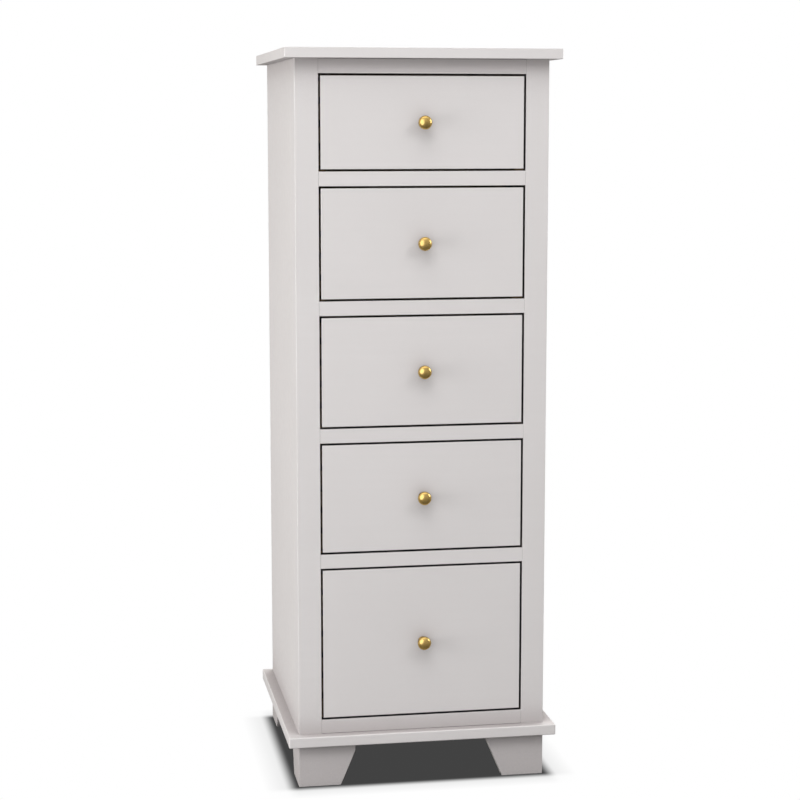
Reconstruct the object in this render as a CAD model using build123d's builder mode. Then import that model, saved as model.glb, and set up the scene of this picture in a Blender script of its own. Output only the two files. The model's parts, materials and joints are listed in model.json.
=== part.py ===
from build123d import *
from math import radians, tan
import os

os.makedirs("parts", exist_ok=True)

# A tall chest of five inset drawers. Millimetres. +Z is up, the front faces -Y and +X is to the right
# of someone facing the chest. The origin is on the floor, in the middle of the chest's outer box.

# ---------------------------------------------------------------- driving dimensions
carcass_width = 460
carcass_depth = 442

top_thickness = 18.2
top_side_overhang = 19.5
top_front_overhang = 22.4
top_back_overhang = 17
top_edge_radius = 1

base_thickness = 19.8
base_side_overhang = 20
base_front_overhang = 19.5
base_back_overhang = 8
base_edge_radius = 2

foot_height = 79.4
foot_top_width = 105
foot_bottom_width = 78
foot_shoulder_drop = 15
foot_thickness = 20
foot_edge_radius = 1.2
corner_block_size = 28
corner_block_lift = 6
glue_line = 0.1

stile_width = 42.3
rail_height = 26.2
frame_thickness = 20
stile_edge_radius = 1
frame_edge_radius = 0.7
tenon_length = 15
tenon_thickness = 8
tenon_height = 20

panel_thickness = 18
back_thickness = 6
back_rebate_width = 9

opening_heights = (171.6, 204.4, 204.4, 204.4, 283.4)  # drawers 1 to 5, from the top down

drawer_gap = 3.7
drawer_depth = 424
front_thickness = 20
front_edge_radius = 0.9
side_thickness = 12
side_drop = 3
drawer_back_thickness = 12
drawer_back_inset = 10
drawer_back_drop = 4
housing_depth = 4
bottom_thickness = 6
bottom_height = 10
bottom_groove_depth = 6
front_groove_depth = 7
drawer_edge_radius = 1.2
tail_length = 14
tail_slope = 10
tail_pitch = 40
tail_share = 0.62
fit_slack = 0.1

runner_width = 40
runner_clearance = 0.1
guide_clearance = 0.7
guide_height = 12
stop_height = 20
stop_clearance = 0.3

knob_reach = 29
knob_head_radius = 12.3
knob_rim_reach = 22
knob_flange_radius = 7.4
knob_flange_thickness = 1.6
knob_neck_radius = 4.8
knob_neck_reach = 12
knob_bore_depth = 11
knob_screw_radius = 2
knob_screw_head_radius = 4.4
knob_screw_head_height = 2.4

wood_screw_radius = 2
wood_screw_head_radius = 4
screw_hole_slack = 0.15
screw_recess_width = 0.9
screw_recess_length = 4.4
screw_recess_depth = 1.3
top_screw_length = 38
base_screw_length = 45
back_screw_length = 20
screw_end_inset = 60
back_screw_shares = (0.04, 0.27, 0.5, 0.73, 0.96)  # of the carcass height, from its bottom

# ---------------------------------------------------------------- derived levels and faces
half_width = carcass_width / 2
opening_half = half_width - stile_width
panel_inner = half_width - panel_thickness
drawer_half = opening_half - drawer_gap
drawer_inner = drawer_half - side_thickness

overall_depth = knob_reach + carcass_depth + top_back_overhang
face_y = knob_reach - overall_depth / 2
back_y = face_y + carcass_depth
frame_back_y = face_y + frame_thickness
panel_front_y = back_y - back_thickness
drawer_back_y = face_y + drawer_depth
middle_y = (face_y + back_y) / 2
feet_middle_y = (face_y + back_y + base_back_overhang) / 2

carcass_bottom = foot_height + base_thickness
carcass_top = carcass_bottom + sum(opening_heights) + 6 * rail_height


def drawer_levels():
    """Bottom and top of each drawer's opening in the front frame, from the top drawer down."""
    levels = []
    top = carcass_top - rail_height
    for height in opening_heights:
        levels.append((top - height, top))
        top = top - height - rail_height
    return levels


openings = drawer_levels()
rail_levels = [carcass_top - rail_height] + [bottom - rail_height for bottom, top in openings]
rail_names = ("rail_top", "rail_1_2", "rail_2_3", "rail_3_4", "rail_4_5", "rail_bottom")


# ---------------------------------------------------------------- shared helpers
def save(piece, name):
    """Label a finished piece and write it as its own file."""
    piece.part.label = name
    export_step(piece.part, f"parts/{name}.step")


def rectangle_between(low, high):
    """A rectangle in the current sketch, given two opposite corners."""
    with Locations(((low[0] + high[0]) / 2, (low[1] + high[1]) / 2)):
        Rectangle(high[0] - low[0], high[1] - low[1])


def front_plane(y):
    """Upright plane facing the front at depth y, with local x to the right and local y up."""
    return Plane.XZ.offset(-y)


def screw_places(points, outward, at):
    """A plane at each point, with its Z pointing out of the screw's head along outward."""
    return [Plane(origin=at(a, b), z_dir=outward) for a, b in points]


def save_wood_screws(places, length, name):
    """Identical countersunk cross-head screws, each with its head flush at its place."""
    head_height = wood_screw_head_radius - wood_screw_radius
    down = (Align.CENTER, Align.CENTER, Align.MAX)
    with BuildPart() as screws:
        with Locations(*places):
            Cylinder(wood_screw_radius, length, align=down)
            Cone(wood_screw_radius, wood_screw_head_radius, head_height, align=down)
            Box(screw_recess_width, screw_recess_length, screw_recess_depth, align=down, mode=Mode.SUBTRACT)
            Box(screw_recess_length, screw_recess_width, screw_recess_depth, align=down, mode=Mode.SUBTRACT)
    save(screws, name)


def sink_screw_holes(places, depth=None):
    """Countersunk holes for wood screws in the current part."""
    with Locations(*places):
        CounterSinkHole(
            wood_screw_radius + screw_hole_slack,
            wood_screw_head_radius + screw_hole_slack,
            depth,
            counter_sink_angle=90,
        )


def drill_pilot_holes(places, past):
    """Holes where the far ends of the screws bite, from the head's face to a depth of past."""
    with Locations(*places):
        Cylinder(
            wood_screw_radius + screw_hole_slack,
            past,
            align=(Align.CENTER, Align.CENTER, Align.MAX),
            mode=Mode.SUBTRACT,
        )


# ---------------------------------------------------------------- where the carcass screws go
screw_end = 1
along_depth = (frame_back_y + screw_end_inset, middle_y, panel_front_y - screw_end_inset)
kicker_middle = (panel_inner + drawer_inner) / 2
panel_middle = half_width - panel_thickness / 2
rebate_middle = panel_inner + back_rebate_width / 2
up_the_back = [carcass_bottom + share * (carcass_top - carcass_bottom) for share in back_screw_shares]

top_screw_places = screw_places(
    [(side * kicker_middle, y) for side in (-1, 1) for y in along_depth],
    (0, 0, -1),
    lambda x, y: (x, y, carcass_top - rail_height),
)
base_screw_places = screw_places(
    [(side * panel_middle, y) for side in (-1, 1) for y in along_depth],
    (0, 0, -1),
    lambda x, y: (x, y, foot_height),
)
back_screw_places = screw_places(
    [(side * rebate_middle, z) for side in (-1, 1) for z in up_the_back],
    (0, 1, 0),
    lambda x, z: (x, back_y, z),
)

save_wood_screws(top_screw_places, top_screw_length, "top_screws")
save_wood_screws(base_screw_places, base_screw_length, "base_screws")
save_wood_screws(back_screw_places, back_screw_length, "back_screws")

# ---------------------------------------------------------------- top and base boards
with BuildPart() as top_board:
    with BuildSketch(Plane.XY.offset(carcass_top)):
        rectangle_between(
            (-half_width - top_side_overhang, face_y - top_front_overhang),
            (half_width + top_side_overhang, back_y + top_back_overhang),
        )
    extrude(amount=top_thickness)
    fillet(top_board.edges(), radius=top_edge_radius)
    drill_pilot_holes(top_screw_places, top_screw_length + screw_end)
save(top_board, "top_board")

with BuildPart() as base_board:
    with BuildSketch(Plane.XY.offset(foot_height)):
        rectangle_between(
            (-half_width - base_side_overhang, face_y - base_front_overhang),
            (half_width + base_side_overhang, back_y + base_back_overhang),
        )
    extrude(amount=base_thickness)
    fillet(base_board.edges(), radius=base_edge_radius)
    sink_screw_holes(base_screw_places)
save(base_board, "base_board")

# ---------------------------------------------------------------- side panels and back panel
with BuildPart() as side_panel_left:
    with BuildSketch(Plane.XY.offset(carcass_bottom)):
        rectangle_between((-half_width, frame_back_y), (-panel_inner, back_y))
        with Locations((-panel_inner, back_y)):
            Rectangle(
                back_rebate_width,
                back_thickness,
                align=(Align.MAX, Align.MAX),
                mode=Mode.SUBTRACT,
            )
    extrude(amount=carcass_top - carcass_bottom)
    drill_pilot_holes(base_screw_places, base_screw_length + screw_end)
    drill_pilot_holes(back_screw_places, back_screw_length + screw_end)
save(side_panel_left, "side_panel_left")

with BuildPart() as side_panel_right:
    mirror(side_panel_left.part, about=Plane.YZ)
save(side_panel_right, "side_panel_right")

with BuildPart() as back_panel:
    with BuildSketch(Plane.XY.offset(carcass_bottom)):
        rectangle_between(
            (-panel_inner - back_rebate_width, panel_front_y),
            (panel_inner + back_rebate_width, back_y),
        )
    extrude(amount=carcass_top - carcass_bottom)
    sink_screw_holes(back_screw_places)
save(back_panel, "back_panel")

# ---------------------------------------------------------------- front frame: stiles and rails
with BuildPart() as stile_left:
    with BuildSketch(Plane.XY.offset(carcass_bottom)):
        rectangle_between((-half_width, face_y), (-opening_half, frame_back_y))
    extrude(amount=carcass_top - carcass_bottom)
    outer_edge = stile_left.edges().filter_by(Axis.Z).group_by(Axis.Y)[0].sort_by(Axis.X)[0]
    fillet(outer_edge, radius=stile_edge_radius)
    inner_edge = stile_left.edges().filter_by(Axis.Z).group_by(Axis.Y)[0].sort_by(Axis.X)[-1]
    fillet(inner_edge, radius=frame_edge_radius)
    with BuildSketch(Plane.YZ.offset(-opening_half)):
        for level in rail_levels:
            with Locations(((face_y + frame_back_y) / 2, level + rail_height / 2)):
                Rectangle(tenon_thickness + 2 * fit_slack, tenon_height + 2 * fit_slack)
    extrude(amount=-tenon_length - fit_slack, mode=Mode.SUBTRACT)
save(stile_left, "stile_left")

with BuildPart() as stile_right:
    mirror(stile_left.part, about=Plane.YZ)
save(stile_right, "stile_right")

for name, level in zip(rail_names, rail_levels):
    with BuildPart() as rail:
        with BuildSketch(Plane.XY.offset(level)):
            rectangle_between((-opening_half, face_y), (opening_half, frame_back_y))
        extrude(amount=rail_height)
        fillet(rail.edges().filter_by(Axis.X).group_by(Axis.Y)[0], radius=frame_edge_radius)
        with BuildSketch(Plane.YZ):
            with Locations(((face_y + frame_back_y) / 2, level + rail_height / 2)):
                Rectangle(tenon_thickness, tenon_height)
        extrude(amount=opening_half + tenon_length, both=True)
    save(rail, name)

# ---------------------------------------------------------------- feet
# Each foot is a front and a side bracket, mitred at the corner, with a glue block behind them.
# The back feet stand further out than the back panel, flush with the base board's back edge.
bracket_outline = (
    (0, 0),
    (0, foot_height),
    (foot_top_width, foot_height),
    (foot_top_width, foot_height - foot_shoulder_drop),
    (foot_bottom_width, 0),
)


def mitre_plane(offset):
    """Upright plane through the front left corner at 45 degrees, moved aside by offset."""
    shift = offset / 2**0.5
    return Plane(origin=(-half_width + shift, face_y - shift, 0), z_dir=(1, -1, 0))


with BuildPart() as front_bracket:
    with BuildSketch(front_plane(face_y)):
        Polygon(*[(x - half_width, z) for x, z in bracket_outline])
    extrude(amount=-foot_thickness)
    outer_face = front_bracket.faces().sort_by(Axis.Y)[0]
    fillet(outer_face.edges().filter_by(Axis.X, reverse=True), radius=foot_edge_radius)
    split(bisect_by=mitre_plane(glue_line / 2), keep=Keep.TOP)

with BuildPart() as side_bracket:
    with BuildSketch(Plane.YZ.offset(-half_width)):
        Polygon(*[(face_y + y, z) for y, z in bracket_outline])
    extrude(amount=foot_thickness)
    outer_face = side_bracket.faces().sort_by(Axis.X)[0]
    fillet(outer_face.edges().filter_by(Axis.Y, reverse=True), radius=foot_edge_radius)
    split(bisect_by=mitre_plane(-glue_line / 2), keep=Keep.BOTTOM)

with BuildPart() as corner_block:
    block_inset = foot_thickness + glue_line
    with BuildSketch(Plane.XY.offset(corner_block_lift)):
        with Locations((block_inset - half_width, face_y + block_inset)):
            Rectangle(corner_block_size, corner_block_size, align=(Align.MIN, Align.MIN))
    extrude(amount=foot_height - corner_block_lift)
    inner_corner = corner_block.edges().filter_by(Axis.Z).group_by(Axis.X)[-1].sort_by(Axis.Y)[-1]
    chamfer(inner_corner, length=corner_block_size / 2)

with BuildPart() as foot_front_left:
    add(front_bracket.part)
    add(side_bracket.part)
    add(corner_block.part)
save(foot_front_left, "foot_front_left")

with BuildPart() as foot_front_right:
    mirror(foot_front_left.part, about=Plane.YZ)
save(foot_front_right, "foot_front_right")

for name, front_foot in (("foot_back_left", foot_front_left), ("foot_back_right", foot_front_right)):
    with BuildPart() as back_foot:
        mirror(front_foot.part, about=front_plane(feet_middle_y))
    save(back_foot, name)

# ---------------------------------------------------------------- runners, kickers and stops
# An L-section runner each side carries a drawer side on its ledge and guides it with its raised step.
# Its underside is level with the rail's, so that it also keeps the drawer below from tipping.
with BuildPart() as runners_left:
    for bottom, _ in openings:
        underside = bottom - rail_height
        ledge = bottom + drawer_gap - runner_clearance
        step_x = -drawer_half - guide_clearance
        with BuildSketch(front_plane(frame_back_y)):
            Polygon(
                (-panel_inner, underside),
                (runner_width - panel_inner, underside),
                (runner_width - panel_inner, ledge),
                (step_x, ledge),
                (step_x, ledge + guide_height),
                (-panel_inner, ledge + guide_height),
            )
    extrude(amount=frame_back_y - panel_front_y)
save(runners_left, "runners_left")

with BuildPart() as runners_right:
    mirror(runners_left.part, about=Plane.YZ)
save(runners_right, "runners_right")

with BuildPart() as kicker_left:
    with BuildSketch(Plane.XY.offset(carcass_top - rail_height)):
        rectangle_between((-panel_inner, frame_back_y), (runner_width - panel_inner, panel_front_y))
    extrude(amount=rail_height)
    sink_screw_holes(top_screw_places)
save(kicker_left, "kicker_left")

with BuildPart() as kicker_right:
    mirror(kicker_left.part, about=Plane.YZ)
save(kicker_right, "kicker_right")

with BuildPart() as drawer_stops:
    for bottom, _ in openings:
        with BuildSketch(Plane.XY.offset(bottom + drawer_gap - runner_clearance)):
            for side in (-1, 1):
                with Locations((side * (drawer_half + drawer_inner) / 2, panel_front_y)):
                    Rectangle(
                        side_thickness,
                        panel_front_y - drawer_back_y - stop_clearance,
                        align=(Align.CENTER, Align.MAX),
                    )
    extrude(amount=stop_height)
save(drawer_stops, "drawer_stops")


# ---------------------------------------------------------------- drawers
def tail_outlines(side_bottom, side_top, slack):
    """Outlines in the side's YZ plane of the dovetail tails on the front end of a drawer side."""
    count = round((side_top - side_bottom) / tail_pitch)
    pitch = (side_top - side_bottom) / count
    root_y = face_y + front_thickness
    end_y = root_y - tail_length
    root_half = pitch * tail_share / 2 + slack
    end_half = root_half + tail_length * tan(radians(tail_slope))
    outlines = []
    for number in range(count):
        z = side_bottom + (number + 0.5) * pitch
        outlines.append(
            (
                (root_y + slack, z - root_half),
                (end_y - slack, z - end_half),
                (end_y - slack, z + end_half),
                (root_y + slack, z + root_half),
            )
        )
    return outlines


def make_drawer(number, opening_bottom, opening_top):
    """The seven pieces of one drawer, shut in the opening between the two levels."""
    front_bottom = opening_bottom + drawer_gap
    front_top = opening_top - drawer_gap
    side_bottom = front_bottom
    side_top = front_top - side_drop
    groove_bottom = side_bottom + bottom_height
    groove_top = groove_bottom + bottom_thickness + 2 * fit_slack
    knob_z = (front_bottom + front_top) / 2
    front_back_y = face_y + front_thickness
    back_front_y = drawer_back_y - drawer_back_inset - drawer_back_thickness
    back_rear_y = drawer_back_y - drawer_back_inset
    bottom_half = drawer_inner + bottom_groove_depth - fit_slack

    with BuildPart() as front:
        with BuildSketch(front_plane(face_y)):
            rectangle_between((-drawer_half, front_bottom), (drawer_half, front_top))
        extrude(amount=-front_thickness)
        fillet(front.faces().sort_by(Axis.Y)[0].edges(), radius=front_edge_radius)
        for side in (-1, 1):
            with BuildSketch(Plane.YZ.offset(side * drawer_half)):
                for outline in tail_outlines(side_bottom, side_top, fit_slack):
                    Polygon(*outline)
            extrude(amount=-side * (side_thickness + fit_slack), mode=Mode.SUBTRACT)
        with BuildSketch(Plane.XY.offset(groove_bottom)):
            rectangle_between(
                (-drawer_inner - bottom_groove_depth, front_back_y - front_groove_depth),
                (drawer_inner + bottom_groove_depth, front_back_y),
            )
        extrude(amount=groove_top - groove_bottom, mode=Mode.SUBTRACT)
        with BuildSketch(front_plane(face_y)):
            with Locations((0, knob_z)):
                Circle(knob_screw_radius + screw_hole_slack)
        extrude(amount=-front_thickness, mode=Mode.SUBTRACT)
    save(front, f"drawer_{number}_front")

    with BuildPart() as side_left:
        with BuildSketch(Plane.YZ.offset(-drawer_half)):
            rectangle_between((front_back_y, side_bottom), (drawer_back_y, side_top))
            for outline in tail_outlines(side_bottom, side_top, 0):
                Polygon(*outline)
        extrude(amount=side_thickness)
        top_edges = side_left.faces().sort_by(Axis.Z)[-1].edges().filter_by(Axis.Y)
        fillet(top_edges, radius=drawer_edge_radius)
        with BuildSketch(Plane.XY.offset(groove_bottom)):
            rectangle_between(
                (-drawer_inner - bottom_groove_depth, front_back_y - tail_length),
                (-drawer_inner, drawer_back_y),
            )
        extrude(amount=groove_top - groove_bottom, mode=Mode.SUBTRACT)
        with BuildSketch(Plane.XY.offset(groove_top)):
            rectangle_between(
                (-drawer_inner - housing_depth, back_front_y - fit_slack),
                (-drawer_inner, back_rear_y + fit_slack),
            )
        extrude(amount=side_top - groove_top, mode=Mode.SUBTRACT)
    save(side_left, f"drawer_{number}_side_left")

    with BuildPart() as side_right:
        mirror(side_left.part, about=Plane.YZ)
    save(side_right, f"drawer_{number}_side_right")

    with BuildPart() as back:
        with BuildSketch(Plane.XY.offset(groove_top)):
            rectangle_between(
                (fit_slack - drawer_inner - housing_depth, back_front_y),
                (drawer_inner + housing_depth - fit_slack, back_rear_y),
            )
        extrude(amount=side_top - drawer_back_drop - groove_top)
        fillet(back.faces().sort_by(Axis.Z)[-1].edges().filter_by(Axis.X), radius=drawer_edge_radius)
    save(back, f"drawer_{number}_back")

    with BuildPart() as bottom:
        with BuildSketch(Plane.XY.offset(groove_bottom + fit_slack)):
            rectangle_between(
                (-bottom_half, front_back_y - front_groove_depth + fit_slack),
                (bottom_half, back_rear_y),
            )
        extrude(amount=bottom_thickness)
    save(bottom, f"drawer_{number}_bottom")

    with BuildPart() as knob:
        with BuildSketch(Plane.XY.offset(knob_z)):
            with BuildLine():
                neck_start = (knob_neck_radius, face_y - knob_flange_thickness - 2)
                neck_end = (knob_neck_radius, face_y - knob_neck_reach)
                rim = (knob_head_radius, face_y - knob_rim_reach)
                tip = (0, face_y - knob_reach)
                Polyline(
                    (0, face_y),
                    (knob_flange_radius, face_y),
                    (knob_flange_radius, face_y - knob_flange_thickness),
                    neck_start,
                    neck_end,
                )
                Spline(neck_end, rim, tangents=((1, -0.2), (0, -1)))
                EllipticalCenterArc(
                    (0, face_y - knob_rim_reach),
                    knob_head_radius,
                    knob_reach - knob_rim_reach,
                    start_angle=-90,
                    arc_size=90,
                )
                Line(tip, (0, face_y))
            make_face()
        revolve(axis=Axis((0, 0, knob_z), (0, 1, 0)))
        with BuildSketch(front_plane(face_y)):
            with Locations((0, knob_z)):
                Circle(knob_screw_radius + screw_hole_slack)
        extrude(amount=knob_bore_depth, mode=Mode.SUBTRACT)
    save(knob, f"drawer_{number}_knob")

    with BuildPart() as knob_screw:
        with BuildSketch(front_plane(front_back_y)):
            with Locations((0, knob_z)):
                Circle(knob_screw_radius)
        extrude(amount=front_thickness + knob_bore_depth - screw_end)
        with BuildSketch(front_plane(front_back_y)):
            with Locations((0, knob_z)):
                Circle(knob_screw_head_radius)
        extrude(amount=-knob_screw_head_height)
        fillet(knob_screw.faces().sort_by(Axis.Y)[-1].edges(), radius=knob_screw_head_height / 2)
        with BuildSketch(front_plane(front_back_y + knob_screw_head_height)):
            with Locations((0, knob_z)):
                Rectangle(2 * knob_screw_head_radius, screw_recess_width)
        extrude(amount=screw_recess_depth, mode=Mode.SUBTRACT)
    save(knob_screw, f"drawer_{number}_knob_screw")


for number, (opening_bottom, opening_top) in enumerate(openings, start=1):
    make_drawer(number, opening_bottom, opening_top)
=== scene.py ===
import json
import math

import bpy
from mathutils import Euler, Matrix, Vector


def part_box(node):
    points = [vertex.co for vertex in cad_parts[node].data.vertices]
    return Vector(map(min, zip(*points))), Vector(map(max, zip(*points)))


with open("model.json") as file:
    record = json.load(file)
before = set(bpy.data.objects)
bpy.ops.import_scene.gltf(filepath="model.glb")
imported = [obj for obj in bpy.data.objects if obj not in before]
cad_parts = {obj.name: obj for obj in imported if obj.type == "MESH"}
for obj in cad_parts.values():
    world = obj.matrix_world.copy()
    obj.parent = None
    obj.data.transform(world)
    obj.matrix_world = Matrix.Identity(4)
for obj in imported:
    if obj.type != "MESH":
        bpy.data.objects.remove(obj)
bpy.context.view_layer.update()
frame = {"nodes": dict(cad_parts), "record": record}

# A tall painted chest of drawers. Metres, +Z up, the drawer fronts face -Y.
MM = 0.001
nodes = frame["nodes"]
scene = bpy.context.scene

# ---------------------------------------------------------------- colours and finishes
PAINT = (0.660, 0.634, 0.629)
PAINT_DRIFT = 0.035          # how much the paint's colour drifts over a board
PAINT_STREAK = 0.975         # and how dark its brush strokes get
PAINT_WORN = 1.06            # and how light its rubbed edges get
PAINT_ROUGHNESS = 0.44
PAINT_EDGE = 1.4 * MM        # width of the rubbed edges
# The dark warm colour that the paint's painted shade in corners mixes towards.
PAINTED_SHADE_TINT = (0.06, 0.015, 0.02)
CORNER_REACH = 110 * MM      # how far the paint looks round for what hides it, for its painted shade in corners and gaps
# The painted shade in the paint's inner corners: how open the corner is at its darkest, where the painted
# shade ends, and its depth.
FRAME_PAINTED_SHADE = (0.845, 1.0, 0.265)
OTHER_PAINTED_SHADE = {"drawer": (0.0, 1.0, 0.58), "base": (0.45, 0.95, 0.46), "foot": (0.78, 1.0, 0.27)}
GAP_OPENNESS = (0.25, 0.53)  # painted shade: the paint darkens to GAP_SHADE inside the gaps round the drawers
GAP_SHADE = 0.97
BRASS = (0.82, 0.59, 0.21)
# The dark brown that the knobs' patina patches and their painted shade mix towards.
BRASS_PATINA_AND_SHADE = (0.27, 0.18, 0.075)
BRASS_EDGE = (0.45, 0.33, 0.18)
KNOB_REACH = 60 * MM         # how far a knob looks round for what hides it, for its painted shade
KNOB_OPENNESS = (0.68, 0.95)  # its painted shade fades out between these, from its deepest to none
KNOB_PAINTED_SHADE = 0.92
DRAWER_WOOD = ((0.60, 0.44, 0.28), (0.43, 0.28, 0.15))
RUNNER_WOOD = ((0.50, 0.34, 0.19), (0.34, 0.21, 0.11))
PLYWOOD = ((0.66, 0.50, 0.32), (0.53, 0.37, 0.21))
ZINC = (0.56, 0.56, 0.55)

# ---------------------------------------------------------------- node helpers
MOST_NOISE = (0.3, 0.7)      # nearly all of a noise lies between these


def blank_material(name):
    """A material with only an output and a Principled shader. Returns it, its node tree and the shader."""
    material = bpy.data.materials.new(name)
    material.use_nodes = True
    tree = material.node_tree
    tree.nodes.clear()
    output = tree.nodes.new("ShaderNodeOutputMaterial")
    shader = tree.nodes.new("ShaderNodeBsdfPrincipled")
    tree.links.new(shader.outputs["BSDF"], output.inputs["Surface"])
    return material, tree, shader


def plug(tree, socket, value):
    """Link an output to an input socket, or set the socket to a plain value."""
    if isinstance(value, bpy.types.NodeSocket):
        tree.links.new(value, socket)
    else:
        socket.default_value = value


def add(tree, kind, inputs=(), **settings):
    """A node of that kind, with its settings, and its inputs linked or set by name."""
    node = tree.nodes.new(kind)
    for key, value in settings.items():
        setattr(node, key, value)
    for key, value in dict(inputs).items():
        plug(tree, node.inputs[key], value)
    return node


def object_space(tree, offset=(0, 0, 0), turn=(0, 0, 0), scale=(1, 1, 1)):
    """Object coordinates in metres, moved, turned and scaled."""
    place = add(tree, "ShaderNodeTexCoord").outputs["Object"]
    moved = add(tree, "ShaderNodeMapping", {"Vector": place, "Location": offset}).outputs["Vector"]
    turned = add(tree, "ShaderNodeMapping", {"Vector": moved, "Rotation": turn, "Scale": scale})
    return turned.outputs["Vector"]


def noise(tree, vector, scale, detail=2.0, roughness=0.5):
    """Noise with the given number of cells per metre."""
    inputs = {"Vector": vector, "Scale": scale, "Detail": detail, "Roughness": roughness}
    return add(tree, "ShaderNodeTexNoise", inputs).outputs["Fac"]


def math_node(tree, operation, first, second=0.0, clamp=False):
    """The result of a sum on one or two values or outputs."""
    inputs = {0: first, 1: second}
    return add(tree, "ShaderNodeMath", inputs, operation=operation, use_clamp=clamp).outputs["Value"]


def rerange(tree, value, low, high, new_low=0.0, new_high=1.0, **settings):
    """A value that runs from low to high, changed to run from new_low to new_high, and kept between them."""
    inputs = {"Value": value, "From Min": low, "From Max": high, "To Min": new_low, "To Max": new_high}
    return add(tree, "ShaderNodeMapRange", inputs, **settings).outputs["Result"]


def mix_colour(tree, factor, first, second):
    """Two colours, or outputs that give colours, mixed by factor."""
    node = add(tree, "ShaderNodeMix", data_type="RGBA")
    sockets = {socket.identifier: socket for socket in node.inputs}
    plug(tree, sockets["Factor_Float"], factor)
    for name, colour in (("A_Color", first), ("B_Color", second)):
        plug(tree, sockets[name], (*colour, 1) if isinstance(colour, tuple) else colour)
    return next(socket for socket in node.outputs if socket.identifier == "Result_Color")


def scaled(colour, factor):
    """A colour made lighter or darker."""
    return tuple(channel * factor for channel in colour)


def bump(tree, height, distance, normal=None):
    """A normal from a height of 0 to 1 that stands for distance metres."""
    inputs = {"Height": height, "Distance": distance, "Strength": 1.0}
    if normal is not None:
        inputs["Normal"] = normal
    return add(tree, "ShaderNodeBump", inputs).outputs["Normal"]


def openness(tree, reach):
    """1 where nothing is within reach of the surface, and less in corners, down to 0 in closed gaps."""
    return add(tree, "ShaderNodeAmbientOcclusion", {"Distance": reach}, samples=8).outputs["AO"]


def edge_mask(tree, radius):
    """About 1 on edges and corners that hands rub, and 0 on flat faces."""
    rounded = add(tree, "ShaderNodeBevel", {"Radius": radius}, samples=6).outputs["Normal"]
    flat = add(tree, "ShaderNodeNewGeometry").outputs["True Normal"]
    agree = add(tree, "ShaderNodeVectorMath", {0: rounded, 1: flat}, operation="DOT_PRODUCT").outputs["Value"]
    return rerange(tree, agree, 0.995, 0.80)


# ---------------------------------------------------------------- materials
# Turns that lay a board's length along the pattern's own X axis.
LENGTHWAYS = {"X": (0, 0, 0), "Y": (0, 0, math.pi / 2), "Z": (0, math.pi / 2, 0)}


def painted_wood(name, along, seed, corners):
    """Satin paint over wood: brush strokes along the board, mottling, rubbed edges, and painted shade in
    inner corners and in the gaps round the drawers.
    """
    material, tree, shader = blank_material(name)
    offset = (seed * 1.37, seed * 0.71, seed * 2.13)
    place = object_space(tree, offset, LENGTHWAYS[along])
    strokes = object_space(tree, offset, LENGTHWAYS[along], (0.035, 1, 1))
    clouds = noise(tree, place, 5.0, 3.0)
    stroke = noise(tree, strokes, 420.0, 4.0, 0.6)
    wide_stroke = noise(tree, strokes, 90.0, 3.0)
    speckle = noise(tree, place, 900.0, 2.0)
    rubbed = edge_mask(tree, PAINT_EDGE)

    drift = rerange(tree, clouds, *MOST_NOISE)
    colour = mix_colour(tree, drift, scaled(PAINT, 1 - PAINT_DRIFT / 2), scaled(PAINT, 1 + PAINT_DRIFT / 2))
    streaks = rerange(tree, wide_stroke, *MOST_NOISE, 0.0, 0.35)
    colour = mix_colour(tree, streaks, colour, scaled(PAINT, PAINT_STREAK))
    worn = math_node(tree, "MULTIPLY", rubbed, rerange(tree, speckle, 0.35, 0.65, 0.1, 0.4))
    colour = mix_colour(tree, worn, colour, scaled(PAINT, PAINT_WORN))
    # Painted shade: the colour darkens in inner corners, by how little of the surroundings is open.
    surroundings = openness(tree, CORNER_REACH)
    darkest, lightest, depth = corners
    shade = rerange(tree, surroundings, darkest, lightest, depth, 0.0)
    colour = mix_colour(tree, shade, colour, PAINTED_SHADE_TINT)
    # Painted shade in the gaps round the drawers: the colour darkens towards black where the surface is
    # nearly closed in.
    painted_gap_shade = rerange(tree, surroundings, *GAP_OPENNESS, GAP_SHADE, 0.0)
    tree.links.new(mix_colour(tree, painted_gap_shade, colour, (0, 0, 0)), shader.inputs["Base Color"])

    roughness = rerange(tree, wide_stroke, *MOST_NOISE, PAINT_ROUGHNESS - 0.04, PAINT_ROUGHNESS + 0.05)
    roughness = math_node(tree, "SUBTRACT", roughness, math_node(tree, "MULTIPLY", rubbed, 0.06))
    tree.links.new(roughness, shader.inputs["Roughness"])

    normal = bump(tree, wide_stroke, 0.05 * MM)
    normal = bump(tree, stroke, 0.022 * MM, normal)
    normal = bump(tree, speckle, 0.006 * MM, normal)
    tree.links.new(normal, shader.inputs["Normal"])
    shader.inputs["Specular IOR Level"].default_value = 0.42
    shader.inputs["Coat Weight"].default_value = 0.08
    shader.inputs["Coat Roughness"].default_value = 0.32
    return material


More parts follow.
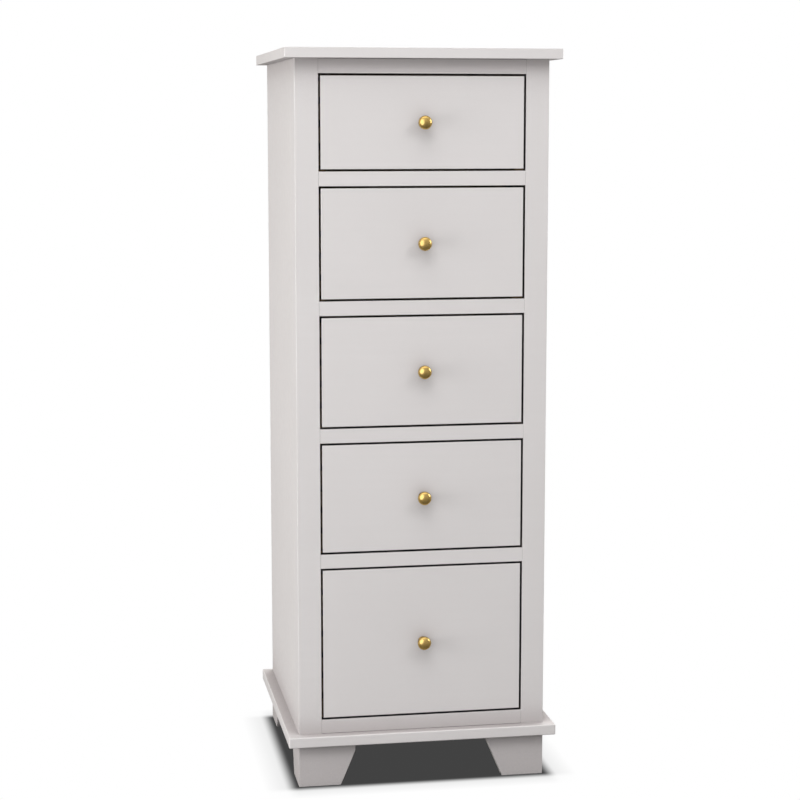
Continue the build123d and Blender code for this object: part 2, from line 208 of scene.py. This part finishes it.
def raw_wood(name, colours, along, seed, ring_scale=34.0, roughness=0.62, ring_edge="SAW"):
    """Planed wood with flat-sawn growth rings, fine fibres and pores along the board."""
    material, tree, shader = blank_material(name)
    pale, dark = colours
    offset = (seed * 1.13, 0.045 + seed * 0.37, 0.21 + seed * 0.59)
    stretched = object_space(tree, offset, LENGTHWAYS[along], (0.09, 1, 1))
    fibres = object_space(tree, offset, LENGTHWAYS[along], (0.02, 1, 1))
    wander = noise(tree, stretched, 3.5, 2.0)
    warp = add(tree, "ShaderNodeVectorMath", {0: stretched}, operation="ADD")
    tree.links.new(math_node(tree, "MULTIPLY", wander, 0.08), warp.inputs[1])
    ring_look = {"Scale": ring_scale, "Distortion": 0.7, "Detail": 2.0, "Detail Scale": 1.4}
    rings = add(
        tree,
        "ShaderNodeTexWave",
        {"Vector": warp.outputs["Vector"], **ring_look},
        wave_type="RINGS",
        rings_direction="X",
        wave_profile=ring_edge,
    ).outputs["Fac"]
    fibre = noise(tree, fibres, 700.0, 3.0, 0.6)
    pores = rerange(tree, noise(tree, fibres, 1500.0, 2.0), 0.62, 0.70)
    patches = noise(tree, stretched, 14.0, 2.0)

    tone = math_node(tree, "MULTIPLY", rings, rerange(tree, patches, 0.35, 0.65, 0.25, 0.65))
    tone = math_node(tree, "ADD", tone, rerange(tree, fibre, *MOST_NOISE, 0.0, 0.35))
    tone = math_node(tree, "MULTIPLY", tone, rerange(tree, patches, *MOST_NOISE, 0.6, 1.15), clamp=True)
    colour = mix_colour(tree, tone, pale, dark)
    colour = mix_colour(tree, math_node(tree, "MULTIPLY", pores, 0.4), colour, scaled(dark, 0.55))
    tree.links.new(colour, shader.inputs["Base Color"])
    fibre_roughness = rerange(tree, fibre, *MOST_NOISE, roughness - 0.07, roughness + 0.08)
    tree.links.new(fibre_roughness, shader.inputs["Roughness"])
    height = math_node(tree, "SUBTRACT", fibre, pores)
    tree.links.new(bump(tree, height, 0.035 * MM), shader.inputs["Normal"])
    shader.inputs["Specular IOR Level"].default_value = 0.35
    return material


def brass(name, seed):
    """Polished brass with tiny scratches and patches of warm patina, and painted shade where its surroundings
    hide it, such as round its rim.
    """
    material, tree, shader = blank_material(name)
    place = object_space(tree, (seed * 0.77, 0, seed * 0.31))
    patina = rerange(tree, noise(tree, place, 140.0, 4.0), 0.46, 0.78)
    smudge = noise(tree, place, 60.0, 3.0)
    scratch_place = object_space(tree, (seed, 0, 0), (0.5, 0.3, 0.9), (1, 0.06, 1))
    scratches = noise(tree, scratch_place, 2600.0, 2.0)
    # Painted shade on the knob: the brass darkens where its surroundings hide it. The noise patches below are
    # patina.
    patina_and_shade = rerange(tree, openness(tree, KNOB_REACH), *KNOB_OPENNESS, KNOB_PAINTED_SHADE, 0.0)
    patina_and_shade = math_node(tree, "MAXIMUM", patina_and_shade, math_node(tree, "MULTIPLY", patina, 0.35))
    colour = mix_colour(tree, patina_and_shade, BRASS, BRASS_PATINA_AND_SHADE)
    tree.links.new(colour, shader.inputs["Base Color"])
    tree.links.new(rerange(tree, smudge, *MOST_NOISE, 0.20, 0.30), shader.inputs["Roughness"])
    tree.links.new(bump(tree, scratches, 0.004 * MM), shader.inputs["Normal"])
    shader.inputs["Metallic"].default_value = 1.0
    shader.inputs["Specular Tint"].default_value = (*BRASS_EDGE, 1)
    return material


def zinc_steel(name):
    """Dull zinc-plated screw steel with a mottled crystal finish."""
    material, tree, shader = blank_material(name)
    mottle = noise(tree, object_space(tree), 700.0, 3.0)
    colour = mix_colour(tree, rerange(tree, mottle, *MOST_NOISE), scaled(ZINC, 0.82), scaled(ZINC, 1.12))
    tree.links.new(colour, shader.inputs["Base Color"])
    tree.links.new(rerange(tree, mottle, *MOST_NOISE, 0.26, 0.42), shader.inputs["Roughness"])
    tree.links.new(bump(tree, mottle, 0.01 * MM), shader.inputs["Normal"])
    shader.inputs["Metallic"].default_value = 1.0
    return material


def longest_axis(node):
    """The axis along which a node is longest, which is how its board's grain runs."""
    low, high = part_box(node)
    size = high - low
    return "XYZ"[max(range(3), key=lambda i: size[i])]


def node_material(name, seed):
    """The finished material of one CAD node, by its material slot in the record."""
    slot = node_slots[name]
    if slot == "painted_wood":
        # Each group of parts gets its own depth of painted shade in its corners.
        corners = OTHER_PAINTED_SHADE.get(name.split("_")[0], FRAME_PAINTED_SHADE)
        return painted_wood(f"paint_{name}", longest_axis(name), seed, corners)
    if slot == "drawer_wood":
        return raw_wood(f"ash_{name}", DRAWER_WOOD, longest_axis(name), seed)
    if slot == "runner_wood":
        return raw_wood(f"beech_{name}", RUNNER_WOOD, "Y", seed, 44.0, 0.55)
    if slot == "plywood":
        return raw_wood(f"plywood_{name}", PLYWOOD, longest_axis(name), seed, 30.0, 0.6, "SIN")
    if slot == "brass":
        return brass(f"brass_{name}", seed)
    return zinc_steel(f"zinc_{name}")


node_slots = {part["node"]: part["material_slot"] for part in frame["record"]["subparts"]}
for seed, name in enumerate(sorted(nodes), start=1):
    materials = nodes[name].data.materials
    materials.clear()
    materials.append(node_material(name, seed))

# ---------------------------------------------------------------- camera, left of the chest and below its top
CAMERA_PLACE = Vector((-0.6487, -3.6781, 1.2104))
CAMERA_YAW = math.radians(9.942)
CAMERA_PITCH = math.radians(8.010)
CAMERA_LENS = 88.33
CAMERA_SENSOR = 36

camera = bpy.data.objects.new("camera", bpy.data.cameras.new("camera"))
camera.data.sensor_width = CAMERA_SENSOR
camera.data.lens = CAMERA_LENS
camera.location = CAMERA_PLACE
camera.rotation_euler = Euler((math.pi / 2 - CAMERA_PITCH, 0, -CAMERA_YAW))
scene.collection.objects.link(camera)
scene.camera = camera

# ---------------------------------------------------------------- floor, studio surroundings and lights
FLOOR_HALF = 30.0
UNDER_CHEST = 0.055          # how dark the painted shadow makes the white floor under the chest
SHADOW_CORE = (-18 * MM, 8 * MM)     # the painted contact shadow fades out over these, in from its edge and out
SHADOW_FRINGE = (-20 * MM, 45 * MM)
FRINGE_SHARE = 0.25
FLOOR_BOUNCE = 0.389         # light that the floor throws back up
MIRRORED_UP = (0.22, 0.66)   # what polished metal sees below it and level with it
MIRRORED_ACROSS = (1.1, 0.7)  # what that is multiplied by, from the left to the right
MIRRORED_TOP = 0.8           # and what is added overhead
ROOM_TINT = (1.0, 0.93, 0.84)
SUN_DISTANCE = 4.0


def covered(tree, place, low, high):
    """How much of the painted shadow falls along one axis: 1 between low and high, softly 0 outside them."""
    from_middle = math_node(tree, "ABSOLUTE", math_node(tree, "SUBTRACT", place, (low + high) / 2))
    outside = math_node(tree, "SUBTRACT", from_middle, (high - low) / 2)
    core = rerange(tree, outside, *SHADOW_CORE, 1 - FRINGE_SHARE, 0.0, interpolation_type="SMOOTHSTEP")
    return math_node(tree, "ADD", core, rerange(tree, outside, *SHADOW_FRINGE, FRINGE_SHARE, 0.0))


def make_floor():
    """A plain white glowing studio floor, with a painted soft contact shadow of the chest's base board."""
    mesh = bpy.data.meshes.new("studio_floor")
    corners = [(x * FLOOR_HALF, y * FLOOR_HALF, 0) for x, y in ((-1, -1), (1, -1), (1, 1), (-1, 1))]
    mesh.from_pydata(corners, [], [(0, 1, 2, 3)])
    floor = bpy.data.objects.new("studio_floor", mesh)
    scene.collection.objects.link(floor)
    material, tree, shader = blank_material("studio_floor")
    place = add(tree, "ShaderNodeSeparateXYZ", {"Vector": object_space(tree)})
    low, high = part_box("base_board")
    hidden = [covered(tree, place.outputs["XYZ"[i]], low[i], high[i]) for i in range(2)]
    # The painted shadow dims the floor's white glow under and round the base board.
    shadow = rerange(tree, math_node(tree, "MULTIPLY", *hidden), 0.0, 1.0, 1.0, UNDER_CHEST)
    shader.inputs["Base Color"].default_value = (0, 0, 0, 1)
    shader.inputs["Specular IOR Level"].default_value = 0.0
    shader.inputs["Emission Color"].default_value = (1, 1, 1, 1)
    tree.links.new(shadow, shader.inputs["Emission Strength"])
    mesh.materials.append(material)
    floor.visible_glossy = False
    floor.visible_diffuse = False


def background(tree, colour, strength):
    """Light of one colour from all round."""
    inputs = {"Color": (*colour, 1), "Strength": strength}
    return add(tree, "ShaderNodeBackground", inputs).outputs["Background"]


def make_world():
    """White behind the chest for the camera. The chest itself is lit by the floor's bounce and the lamps."""
    world = bpy.data.worlds.new("studio")
    world.use_nodes = True
    tree = world.node_tree
    tree.nodes.clear()
    direction = add(tree, "ShaderNodeTexCoord").outputs["Generated"]
    axes = add(tree, "ShaderNodeSeparateXYZ", {"Vector": direction})
    across, up = axes.outputs["X"], axes.outputs["Z"]    # from -1 at the left and below to 1
    bounce = rerange(tree, up, -0.10, -0.20, 0.0, FLOOR_BOUNCE)
    upward = rerange(tree, up, -0.6, 0.5, *MIRRORED_UP)
    room = math_node(tree, "MULTIPLY", upward, rerange(tree, across, -0.8, 0.9, *MIRRORED_ACROSS))
    mirrored = math_node(tree, "ADD", room, rerange(tree, up, 0.70, 0.88, 0.0, MIRRORED_TOP))
    path = add(tree, "ShaderNodeLightPath").outputs
    shown = background(tree, (1, 1, 1), bounce)
    for ray, light in (
        ("Is Glossy Ray", background(tree, ROOM_TINT, mirrored)),
        ("Is Camera Ray", background(tree, (1, 1, 1), 1.0)),
    ):
        shown = add(tree, "ShaderNodeMixShader", {0: path[ray], 1: shown, 2: light}).outputs["Shader"]
    output = add(tree, "ShaderNodeOutputWorld")
    tree.links.new(shown, output.inputs["Surface"])
    scene.world = world


def place_lamp(name, lamp, outward, place, mirrored=False):
    """Put a lamp at a place, shining opposite to outward. A mirrored lamp shows only in reflections."""
    holder = bpy.data.objects.new(name, lamp)
    holder.rotation_euler = outward.to_track_quat("Z", "Y").to_euler()
    holder.location = place
    holder.visible_diffuse = not mirrored
    holder.visible_glossy = mirrored
    scene.collection.objects.link(holder)


def soft_sun(name, azimuth, elevation, spread, strength):
    """A very soft distant light, with its angles in degrees. Azimuth 0 is the front and 90 the right."""
    lamp = bpy.data.lights.new(name, "SUN")
    lamp.energy = strength
    lamp.angle = math.radians(spread)
    a, e = math.radians(azimuth), math.radians(elevation)
    outward = Vector((math.sin(a) * math.cos(e), -math.cos(a) * math.cos(e), math.sin(e)))
    place_lamp(name, lamp, outward, outward * SUN_DISTANCE)


def softbox(name, place, aim, size, power, mirrored=False):
    """A softbox of that width and height at a place, turned to face the point it aims at."""
    lamp = bpy.data.lights.new(name, "AREA")
    lamp.shape = "ELLIPSE"
    lamp.size, lamp.size_y = size
    lamp.energy = power
    place_lamp(name, lamp, Vector(place) - Vector(aim), Vector(place), mirrored)


make_floor()
make_world()
soft_sun("overhead", azimuth=-20, elevation=68, spread=50, strength=1.27)
soft_sun("high_front", azimuth=-15, elevation=45, spread=40, strength=0.12)
soft_sun("front_left", azimuth=-40, elevation=30, spread=30, strength=0.44)
softbox("softbox_top", (-0.6, -1.8, 3.0), aim=(0, 0, 0.9), size=(2.0, 2.0), power=14)
softbox("softbox_right", (1.6, -2.2, 2.6), aim=(0, 0, 0.9), size=(1.6, 1.6), power=24)
softbox("softbox_left", (-3.0, -0.8, 0.85), aim=(0, 0, 0.7), size=(2.2, 2.2), power=79)
softbox("softbox_low", (-1.0, -3.4, 0.9), aim=(0, 0, 0.6), size=(2.4, 2.4), power=26)
softbox("softbox_back", (1.4, 3.4, 1.7), aim=(0, 0.2, 0.7), size=(2.4, 2.4), power=120)
softbox("softbox_far_right", (3.2, 1.2, 1.1), aim=(0, 0, 0.7), size=(2.0, 2.0), power=45)
softbox("window", (-1.65, -2.55, 1.4), aim=(0, -0.2, 0.9), size=(3.3, 3.7), power=38, mirrored=True)
softbox("glint", (3.0, -0.65, 1.9), aim=(0, -0.25, 0.8), size=(1.2, 1.9), power=22, mirrored=True)

scene.view_settings.view_transform = "Standard"
scene.view_settings.look = "None"
